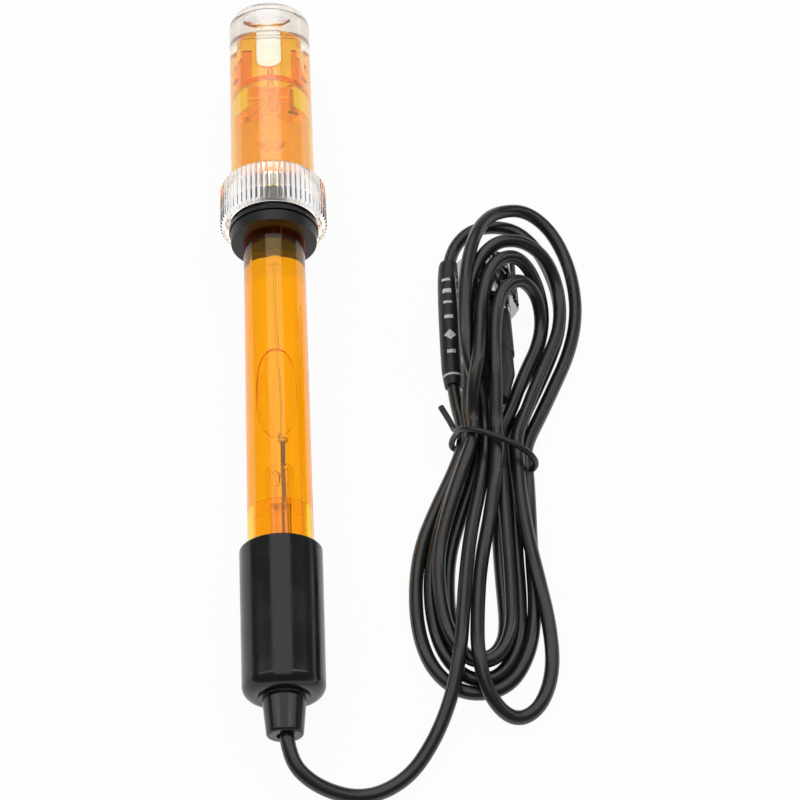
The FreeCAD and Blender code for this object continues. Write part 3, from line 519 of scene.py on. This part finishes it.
def recolour(material, share, colour):
    """Where the share is 1, turn the material's colour into another one."""
    tree = material.node_tree
    skin = next(node for node in tree.nodes if node.type == "GROUP")
    changed = add_mix(tree, share, skin.outputs["Colour"], colour)
    tree.links.new(changed, tree.nodes["Principled BSDF"].inputs["Base Color"])


def dress(material, *names):
    """Give the material to solids of the frame or to new pieces."""
    for name in names:
        piece = nodes[name] if isinstance(name, str) else name
        if not piece.material_slots:
            piece.data.materials.append(material)
        for slot in piece.material_slots:
            slot.material = material


# %% [markdown]
# ## Black plastics and rubber
#
# The cap is moulded in black plastic with a satin skin. The cable's jacket is a glossier soft plastic, the
# boot is a duller one, and the collar is rubber. They differ in gloss and grain far more than in colour,
# so they share one recipe with different values.

# %% Black finishes
BLACK_FINISHES = [
    (("cap",), dict(
        name="cap plastic", colour=(0.0065, 0.0065, 0.0065), shade=(0.012, 0.0118, 0.0115), patch=(160, 0.8),
        grain=5200, gloss=(0.16, 0.24), bump=0.05, depth=0.00003, specks=0.02)),
    ((cable,), dict(
        name="cable jacket", colour=(0.0075, 0.0075, 0.008), shade=(0.012, 0.012, 0.012), patch=(160, 0.7),
        grain=3600, gloss=(0.26, 0.36), bump=0.05, shine=0.75)),
    (("plug_gasket",), dict(
        name="gasket rubber", colour=(0.007, 0.007, 0.007), shade=(0.014, 0.013, 0.013), patch=(300, 0.8),
        grain=4200, gloss=(0.34, 0.46), bump=0.12, depth=0.00003, specks=0.04)),
    (("plug_boot",), dict(
        name="boot plastic", colour=(0.022, 0.022, 0.023), shade=(0.045, 0.045, 0.046), patch=(240, 0.7),
        grain=5200, gloss=(0.38, 0.5), bump=0.15, depth=0.00003, specks=0.03)),
    ((tie,), dict(
        name="tie coating", colour=(0.014, 0.014, 0.015), shade=(0.03, 0.03, 0.03), patch=(420, 0.7),
        gloss=(0.28, 0.4), bump=0.15)),
]
for pieces, values in BLACK_FINISHES:
    dress(base_material(**values), *pieces)
print("black finishes:", len(BLACK_FINISHES))

# %% [markdown]
# ## The collar, with painted light on its lip
#
# The collar is black where it shows. Its lip inside the nut is painted a pale amber, which is painted light:
# it stands in for light that comes through the clear nut, so the nut looks clear instead of showing black
# rubber behind it. The two tones meet in a plane square to the axis, so a comparison along the axis divides
# them.

# %% Collar finish, black with a painted-light lip
LIP_STATION, PAINTED_LIGHT_COLOUR, SHARP = 110.4, (0.85, 0.60, 0.36), 0.00001


def past_station(tree, station, fade):
    """A mask that goes from 0 to 1 at a station of the shaft's axis, over a short fade in metres."""
    place = add_split(tree, add_place(tree))
    forward = add_math(tree, "MULTIPLY", place["Y"], math.cos(TILT))
    upward = add_math(tree, "MULTIPLY", place["Z"], math.sin(TILT))
    _, y, z = on_axis(station)
    edge = (y * math.cos(TILT) + z * math.sin(TILT)) * MM
    return add_range(tree, add_math(tree, "ADD", forward, upward), edge - fade, edge + fade).outputs[0]


collar_finish = base_material("collar with painted light on its lip", (0.007, 0.007, 0.007), (0.014, 0.013, 0.013),
                              patch=(300, 0.8), grain=4200, gloss=(0.34, 0.46), bump=0.12, depth=0.00003,
                              specks=0.04)
# Painted light: past the lip's station the black collar is painted pale amber, so the nut shows light
# through it.
recolour(collar_finish, past_station(collar_finish.node_tree, LIP_STATION, SHARP), PAINTED_LIGHT_COLOUR)
dress(collar_finish, "seal_collar")
print("lip starts", LIP_STATION, "mm from the stub's end")

# %% [markdown]
# ## The sleeve and its printed marks
#
# The sleeve is satin black with a row of white marks on its upper side. They stay generic: short bars, a
# small diamond and a band. An image could carry them, but plain comparisons of the piece's own
# coordinates draw sharp bars with no image at all.

# %% Sleeve finish with marks
sleeve_finish = base_material("sleeve plastic", (0.012, 0.012, 0.012), (0.024, 0.023, 0.022),
                              patch=(300, 0.8), grain=5000, gloss=(0.36, 0.46), bump=0.15)
BARS = [(0.0176, 0.0003), (0.0149, 0.0005), (0.0122, 0.0003), (0.0087, 0.0004), (0.0005, 0.0004)]
MARK_X, MARK_HALF = 0.0336, 0.00085
BAND_Y, BAND_HALF = -0.0046, 0.00022
DIAMOND_Y, DIAMOND_HALF = 0.0044, 0.0012
UPWARDS, WEAR_SCALE, WEAR_LIMIT = 0.1, 2600, 0.36
MARK_COLOUR = (0.8, 0.8, 0.79)
tree = sleeve_finish.node_tree
place = add_split(tree, add_place(tree))
across, along = place["X"], place["Y"]
near_middle = add_math(tree, "COMPARE", across, MARK_X, MARK_HALF)
marks = add_math(tree, "COMPARE", along, BAND_Y, BAND_HALF)
for bar_y, bar_half in BARS:
    bar = add_math(tree, "COMPARE", along, bar_y, bar_half)
    marks = add_math(tree, "MAXIMUM", marks, add_math(tree, "MULTIPLY", bar, near_middle))
off_x = add_math(tree, "ABSOLUTE", add_math(tree, "SUBTRACT", across, MARK_X))
off_y = add_math(tree, "ABSOLUTE", add_math(tree, "SUBTRACT", along, DIAMOND_Y))
diamond = add_math(tree, "LESS_THAN", add_math(tree, "ADD", off_x, off_y), DIAMOND_HALF)
marks = add_math(tree, "MAXIMUM", marks, diamond)
facing = add_split(tree, tree.nodes.new("ShaderNodeNewGeometry").outputs["Normal"])
marks = add_math(tree, "MULTIPLY", marks, add_math(tree, "GREATER_THAN", facing["Z"], UPWARDS))
wear = add_noise(tree, add_place(tree), 2.0, 0.6)
wear.inputs["Scale"].default_value = WEAR_SCALE
marks = add_math(tree, "MULTIPLY", marks, add_math(tree, "GREATER_THAN", wear.outputs["Fac"], WEAR_LIMIT))
recolour(sleeve_finish, marks, MARK_COLOUR)
dress(sleeve_finish, sleeve)
print("marks on the sleeve:", len(BARS) + 2)

# %% [markdown]
# ## Metals
#
# The plug's shell is bright nickel, its pin is gold plated, and inside the shaft are a soldered joint and
# platinum. A metal's colour sits in its reflection, so each has Metallic 1 and a low, uneven roughness.

# %% Metal finishes
METALS = [
    ("nickel plate", (0.50, 0.49, 0.47), (0.34, 0.33, 0.32), (0.08, 0.18), ("plug_body", "plug_coupling")),
    ("gold plate", (0.90, 0.66, 0.26), (0.78, 0.52, 0.18), (0.12, 0.2), ("plug_pin",)),
    ("solder", (0.72, 0.71, 0.69), (0.42, 0.40, 0.37), (0.22, 0.4), ("solder_bead",)),
    ("platinum", (0.72, 0.70, 0.67), (0.55, 0.53, 0.5), (0.14, 0.25), ("platinum_pin", "platinum_lead")),
]
for label, bright, dull, gloss_range, names in METALS:
    metal = base_material(label, bright, dull, patch=(500, 0.7), grain=9000, gloss=gloss_range, bump=0.08,
                          metallic=1.0)
    dress(metal, *names)
print("metals:", len(METALS))

# %% [markdown]
# ## Inner parts that are not clear
#
# The signal wire and the plug's white insulator are small, but they show through clear walls or gaps, so
# each gets its own colour and grain too.

# %% Wire and insulator
INNER = [
    ("red coating", (0.42, 0.035, 0.012), (0.26, 0.02, 0.008), (0.3, 0.42), "signal_wire"),
    ("white insulator", (0.80, 0.79, 0.76), (0.70, 0.69, 0.66), (0.25, 0.35), "plug_insulator"),
]
for label, light, dark, gloss_range, name in INNER:
    dress(base_material(label, light, dark, patch=(700, 0.8), grain=8000, gloss=gloss_range), name)
print("inner finishes:", len(INNER))

# %% [markdown]
# ## Clear plastics, glass and liquids
#
# The amber shaft, the bottle, the nut, the thin stem and the liquids all bend light. Each is a Principled
# shader with full transmission. A ray tracer without caustics would give such a piece a black shadow, so
# shadow rays meet a plain Transparent shader in nearly the same tint instead.

# %% Clear finishes
def clear_material(name, colour, shade, ior, gloss, shadow, patch=(160, 0.6), bump=0.05, depth=0.00001,
                   shine=0.5, transmission=1.0):
    """A clear material whose shadow is as light as the piece is clear."""
    material = base_material(name, colour, shade, patch=patch, grain=3000, gloss=gloss, bump=bump,
                             depth=depth, shine=shine)
    tree = material.node_tree
    shader = tree.nodes["Principled BSDF"]
    shader.inputs["Transmission Weight"].default_value = transmission
    shader.inputs["IOR"].default_value = ior
    see_through = tree.nodes.new("ShaderNodeBsdfTransparent")
    see_through.inputs["Color"].default_value = (*shadow, 1)
    choice = tree.nodes.new("ShaderNodeMixShader")
    tree.links.new(tree.nodes.new("ShaderNodeLightPath").outputs["Is Shadow Ray"], choice.inputs[0])
    tree.links.new(shader.outputs[0], choice.inputs[1])
    tree.links.new(see_through.outputs[0], choice.inputs[2])
    tree.links.new(choice.outputs[0], tree.nodes["Material Output"].inputs["Surface"])
    return material


CLEAR_FINISHES = [
    ("body_tube", dict(
        name="amber plastic", colour=(1.0, 0.65, 0.02), shade=(0.99, 0.60, 0.01), ior=1.49,
        gloss=(0.02, 0.05), shadow=(1.0, 0.75, 0.30))),
    ("tip_guard", dict(
        name="guard plastic", colour=(1.0, 0.47, 0.02), shade=(1.0, 0.44, 0.015), ior=1.42,
        gloss=(0.03, 0.07), shadow=(1.0, 0.78, 0.35))),
    ("tip_plug", dict(
        name="plug resin", colour=(1.0, 0.80, 0.30), shade=(1.0, 0.76, 0.25), ior=1.37,
        gloss=(0.03, 0.08), shadow=(1.0, 0.90, 0.55))),
    ("storage_bottle", dict(
        name="bottle plastic", colour=(0.97, 0.975, 0.98), shade=(0.94, 0.95, 0.96), ior=1.49,
        gloss=(0.01, 0.04), shadow=(0.95, 0.95, 0.95), shine=0.25)),
    ("bottle_nut", dict(
        name="nut plastic", colour=(0.95, 0.955, 0.96), shade=(0.90, 0.91, 0.92), ior=1.49,
        gloss=(0.04, 0.10), shadow=(0.92, 0.92, 0.92), bump=0.15, depth=0.00002)),
    ("glass_stem", dict(
        name="stem glass", colour=(1.0, 0.95, 0.85), shade=(1.0, 0.93, 0.8), ior=1.42,
        gloss=(0.0, 0.02), shadow=(1.0, 0.95, 0.85))),
    ("lead_sleeve", dict(
        name="clear sheath", colour=(1.0, 0.95, 0.85), shade=(0.95, 0.88, 0.76), ior=1.45,
        gloss=(0.08, 0.16), shadow=(1.0, 0.95, 0.85))),
    ("reference_wire", dict(
        name="clear coating", colour=(1.0, 0.90, 0.70), shade=(0.96, 0.84, 0.60), ior=1.38,
        gloss=(0.05, 0.12), shadow=(1.0, 0.92, 0.75))),
    ("junction_frit", dict(
        name="wet ceramic", colour=(1.0, 0.90, 0.70), shade=(0.95, 0.80, 0.58), ior=1.40,
        gloss=(0.35, 0.5), shadow=(1.0, 0.92, 0.75), patch=(900, 0.9), bump=0.3, depth=0.00003,
        transmission=0.8)),
    ("stem_seal", dict(
        name="seal resin", colour=(1.0, 0.84, 0.42), shade=(1.0, 0.80, 0.36), ior=1.38,
        gloss=(0.02, 0.05), shadow=(1.0, 0.9, 0.6), patch=(400, 0.8))),
    (electrolyte, dict(
        name="electrolyte gel", colour=(1.0, 0.93, 0.72), shade=(1.0, 0.91, 0.68), ior=1.34,
        gloss=(0.0, 0.01), shadow=(1.0, 0.95, 0.8), bump=0.0)),
]
for piece, values in CLEAR_FINISHES:
    dress(clear_material(**values), piece)
print("clear finishes:", len(CLEAR_FINISHES))

# %% Storage liquid, paler in front of the tip
PALE_FROM, PALE_FADE, PALE_COLOUR = 151.5, 0.0025, (1.0, 0.97, 0.93)
storage = clear_material("storage liquid", (1.0, 0.955, 0.64), (1.0, 0.94, 0.60), 1.33, (0.0, 0.0),
                         (1.0, 0.96, 0.9), bump=0.0)
recolour(storage, past_station(storage.node_tree, PALE_FROM, PALE_FADE), PALE_COLOUR)
dress(storage, liquid)
print("liquid is paler from", PALE_FROM, "mm on")

# %% [markdown]
# ## Table, light and world
#
# The photograph has a white table and soft light from above. The table shows white to the camera, and to
# rays that come from metal or through plastic, with a part of plain diffuse left in so that the object
# keeps its soft shadow. The lamps stay at a plain level, at which a colour renders about as written.

# %% White table
TABLE_GLOW = 0.95
TABLE_SIZE, TABLE_DROP = 4, 0.00004
bpy.ops.mesh.primitive_plane_add(size=TABLE_SIZE, location=(0.02, 0, -TABLE_DROP))
table = bpy.context.active_object
table.name = "white_table"
table_paint = bpy.data.materials.new("white table")
table_paint.use_nodes = True
tree = table_paint.node_tree
matte = tree.nodes["Principled BSDF"]
matte.inputs["Base Color"].default_value = (0.90, 0.90, 0.90, 1)
matte.inputs["Roughness"].default_value = 0.9
matte.inputs["Specular IOR Level"].default_value = 0.0
glow = tree.nodes.new("ShaderNodeEmission")
rays = tree.nodes.new("ShaderNodeLightPath").outputs
seen = add_math(tree, "MAXIMUM", rays["Is Camera Ray"], rays["Is Glossy Ray"])
seen = add_math(tree, "MAXIMUM", seen, rays["Is Transmission Ray"])
choice = tree.nodes.new("ShaderNodeMixShader")
tree.links.new(add_math(tree, "MULTIPLY", seen, TABLE_GLOW), choice.inputs[0])
tree.links.new(matte.outputs[0], choice.inputs[1])
tree.links.new(glow.outputs[0], choice.inputs[2])
tree.links.new(choice.outputs[0], tree.nodes["Material Output"].inputs["Surface"])
table.data.materials.append(table_paint)
print("table is white, with", round(1 - TABLE_GLOW, 2), "of plain diffuse in it")

# %% World and lamps
SKY_LEVEL, SKY_IN_GLOSS = 0.32, 0.14
AIM = Vector((0.02, 0.0, 0.0))
world = bpy.data.worlds.new("studio")
world.use_nodes = True
bpy.context.scene.world = world
tree = world.node_tree
sky = tree.nodes["Background"]
sky.inputs["Color"].default_value = (1, 1, 1, 1)
rays = tree.nodes.new("ShaderNodeLightPath").outputs
plain = add_math(tree, "MAXIMUM", rays["Is Camera Ray"], rays["Is Transmission Ray"])
been_through = add_math(tree, "GREATER_THAN", rays["Transmission Depth"], 0.5)
plain = add_math(tree, "MAXIMUM", plain, been_through)
dimmer = add_math(tree, "MULTIPLY", rays["Is Glossy Ray"], SKY_IN_GLOSS - SKY_LEVEL)
level = add_math(tree, "MAXIMUM", add_math(tree, "ADD", dimmer, SKY_LEVEL), plain)
tree.links.new(level, sky.inputs["Strength"])
LAMPS = [
    ("wide softbox", (0.0, 0.35, 0.95), (0.95, 2.0), 6.3),
    ("left strip", (-0.80, 0.20, 0.80), (0.14, 0.90), 1.2),
    ("right strip", (0.80, 0.20, 0.80), (0.14, 0.90), 1.2),
]
for label, place_at, sides_of, power in LAMPS:
    lamp_data = bpy.data.lights.new(label, "AREA")
    lamp_data.shape = "RECTANGLE"
    lamp_data.size, lamp_data.size_y = sides_of
    lamp_data.energy = power
    lamp = bpy.data.objects.new(label, lamp_data)
    lamp.location = place_at
    lamp.rotation_euler = (AIM - lamp.location).to_track_quat("-Z", "Y").to_euler()
    bpy.context.scene.collection.objects.link(lamp)
print("lamps:", len(LAMPS))

# %% [markdown]
# ## View, light paths and sizes
#
# The Standard view shows a colour as written. Light in the knurled nut bounces very often before it comes
# out, and a ray that is ended early turns black, so the number of bounces is high; a denser set of samples
# could not mend that.

# %% View, light paths and sizes
scene = bpy.context.scene
scene.view_settings.view_transform = "Standard"
CLEAR_BOUNCES = 64
scene.cycles.max_bounces = CLEAR_BOUNCES
scene.cycles.transmission_bounces = CLEAR_BOUNCES
scene.cycles.glossy_bounces = CLEAR_BOUNCES
scene.cycles.transparent_max_bounces = 16
scene.cycles.caustics_reflective = False
scene.cycles.caustics_refractive = False
bpy.context.view_layer.update()
